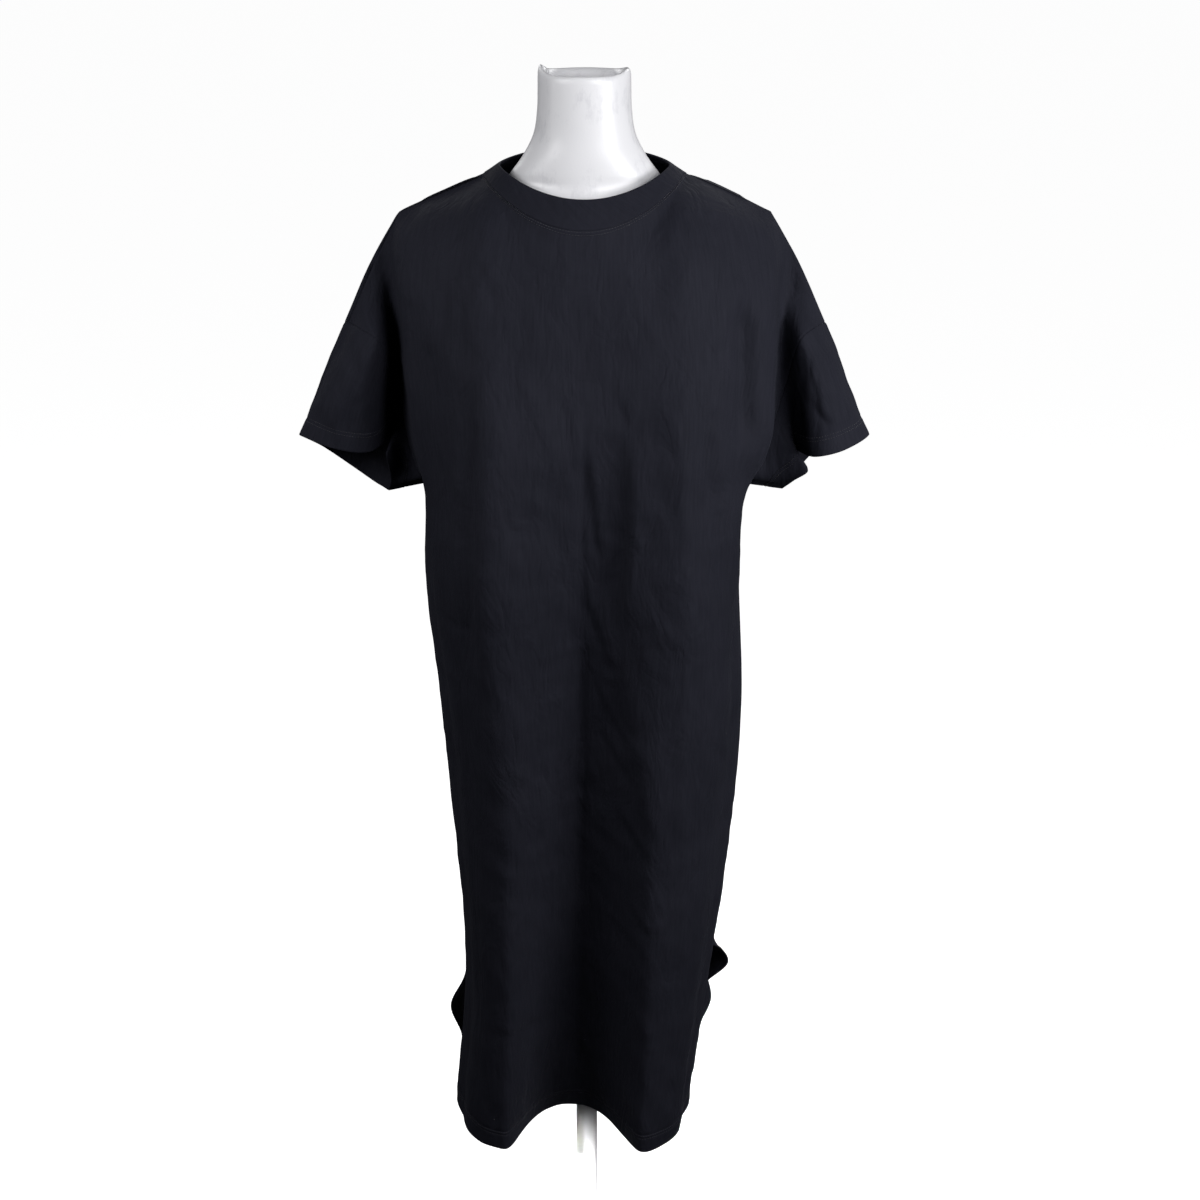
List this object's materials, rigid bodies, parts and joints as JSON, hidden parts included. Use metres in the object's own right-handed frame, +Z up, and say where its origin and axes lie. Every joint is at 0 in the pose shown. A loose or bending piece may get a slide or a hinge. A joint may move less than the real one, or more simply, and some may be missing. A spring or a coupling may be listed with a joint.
{
  "type": "jersey dress on dress form",
  "caption": "Knee-length jersey T-shirt dress with a crew neck, drop-shoulder short sleeves and side slits, resting on a limbless dress form with a pole and round base.",
  "frame": {"origin": "on the floor, at the centre of the stand's round base", "axes": "+Z up along the pole; the front of the dress faces -Y; +X is to the right of a person looking at the front"},
  "size_m": [0.6208, 0.3502, 1.513],
  "materials": {
    "jersey": "fine cotton jersey, black",
    "rib": "fine rib, black",
    "form": "satin white",
    "stand": "satin white"
  },
  "bodies": {
    "root": {"front": "jersey", "back": "jersey", "sleeve_left": "jersey", "sleeve_right": "jersey", "neckband": "rib", "dress_form": "form", "stand_pole": "stand", "stand_base": "stand"}
  },
  "joints": []
}
